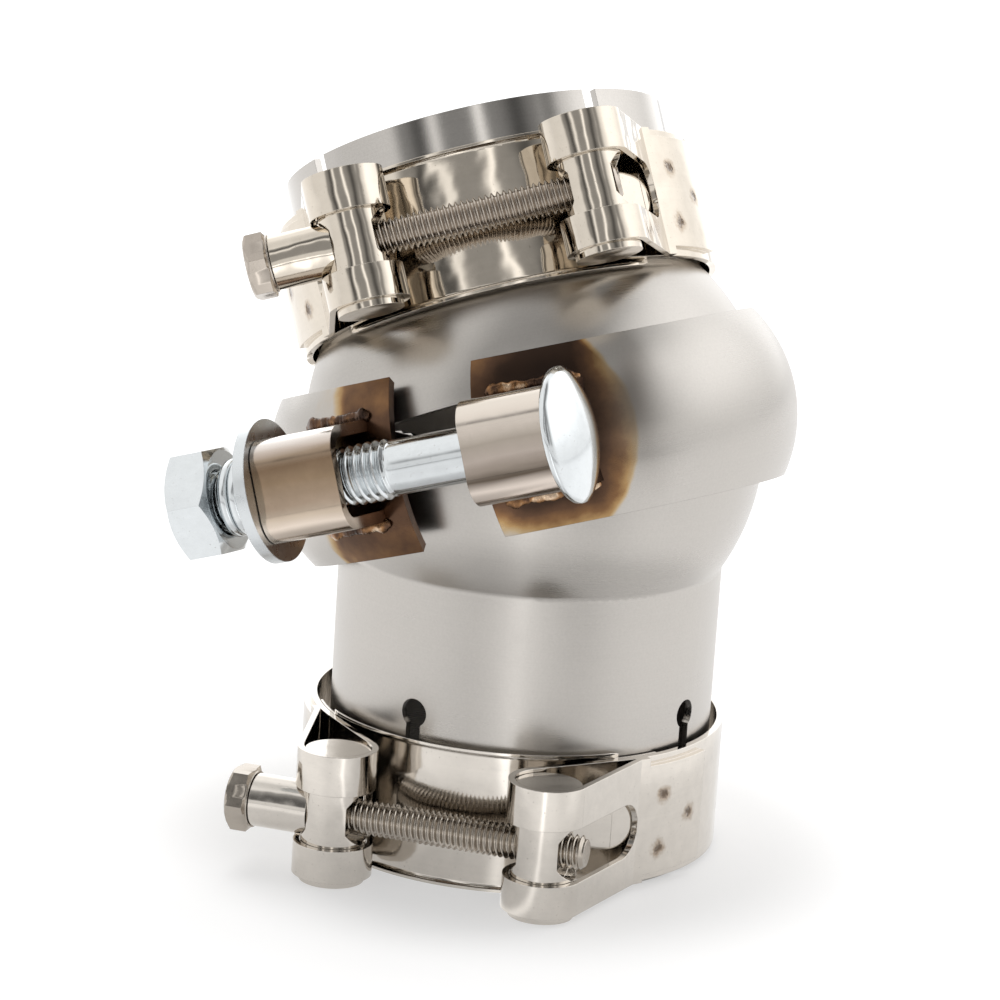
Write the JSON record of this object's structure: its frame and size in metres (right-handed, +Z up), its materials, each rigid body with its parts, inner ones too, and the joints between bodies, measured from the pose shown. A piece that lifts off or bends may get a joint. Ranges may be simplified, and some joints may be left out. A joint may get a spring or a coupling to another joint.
{
  "type": "exhaust pipe connector",
  "caption": "Weld-free exhaust pipe connector: slotted pipe halves meeting in a nested ball joint under a split band with bolt lugs, and a folded loop clamp on each socket.",
  "frame": {"origin": "centre of the lower pipe's end face, on the axis of the lower socket", "axes": "+Z up the lower pipe's axis to the ball, -Y towards the side with the bolts, +X to the right seen from there"},
  "size_m": [0.1051, 0.1142, 0.1322],
  "materials": {
    "satin_stainless": "satin, brushed round the axis, warm light grey",
    "bright_stainless": "bright rolled strip, almost polished",
    "heat_tinted_steel": "satin with brown welding tint",
    "zinc_plated_steel": "bright zinc plating, slightly bluish"
  },
  "bodies": {
    "lower_pipe": {"lower_pipe": "satin_stainless"},
    "lower_clamp": {"lower_clamp_band": "bright_stainless", "lower_bridge_strip": "bright_stainless", "lower_left_barrel": "bright_stainless", "lower_right_barrel": "bright_stainless"},
    "lower_clamp_bolt": {"lower_clamp_bolt": "bright_stainless", "lower_sleeve": "bright_stainless"},
    "ball_clamp": {"ball_band": "satin_stainless", "left_lug": "heat_tinted_steel", "right_lug": "heat_tinted_steel", "lug_welds": "heat_tinted_steel", "carriage_bolt": "zinc_plated_steel", "flat_washer": "zinc_plated_steel", "spring_washer": "zinc_plated_steel"},
    "ball_clamp_nut": {"hex_nut": "zinc_plated_steel"},
    "upper_pipe": {"upper_pipe": "satin_stainless"},
    "upper_clamp": {"upper_clamp_band": "bright_stainless", "upper_bridge_strip": "bright_stainless", "upper_left_barrel": "bright_stainless", "upper_right_barrel": "bright_stainless"},
    "upper_clamp_bolt": {"upper_clamp_bolt": "bright_stainless", "upper_sleeve": "bright_stainless"}
  },
  "joints": [
    {"name": "lower_clamp_turn", "type": "hinge", "parent": "lower_pipe", "child": "lower_clamp", "pos_m": [0, 0, 0.012], "axis": [0, 0, 1], "continuous": true},
    {"name": "lower_bolt_turn", "type": "hinge", "parent": "lower_clamp", "child": "lower_clamp_bolt", "pos_m": [-0.01315, -0.03781, 0.0116], "axis": [0.9511, -0.309, 0], "continuous": true},
    {"name": "band_tilt", "type": "hinge", "parent": "lower_pipe", "child": "ball_clamp", "pos_m": [0, 0, 0.0707], "axis": [-0.6428, -0.766, 0], "range_deg": [-19.2, 0]},
    {"name": "nut_turn", "type": "hinge", "parent": "ball_clamp", "child": "ball_clamp_nut", "pos_m": [-0.01945, -0.04643, 0.0759], "axis": [0.8965, -0.3165, 0.31], "continuous": true},
    {"name": "pipe_bend", "type": "hinge", "parent": "ball_clamp", "child": "upper_pipe", "pos_m": [0, 0, 0.0707], "axis": [-0.9548, -0.2133, -0.207], "range_deg": [-8.9, 0]},
    {"name": "upper_clamp_turn", "type": "hinge", "parent": "upper_pipe", "child": "upper_clamp", "pos_m": [-0.00582, 0.00759, 0.08973], "axis": [-0.2733, 0.3564, 0.8935], "range_deg": [-70, 70]},
    {"name": "upper_bolt_turn", "type": "hinge", "parent": "upper_clamp", "child": "upper_clamp_bolt", "pos_m": [-0.01347, -0.02712, 0.11288], "axis": [0.9547, -0.0131, 0.2972], "continuous": true}
  ],
  "couplings": [
    {"joint": "pipe_bend", "follows": "band_tilt", "ratio": 0.4635}
  ]
}
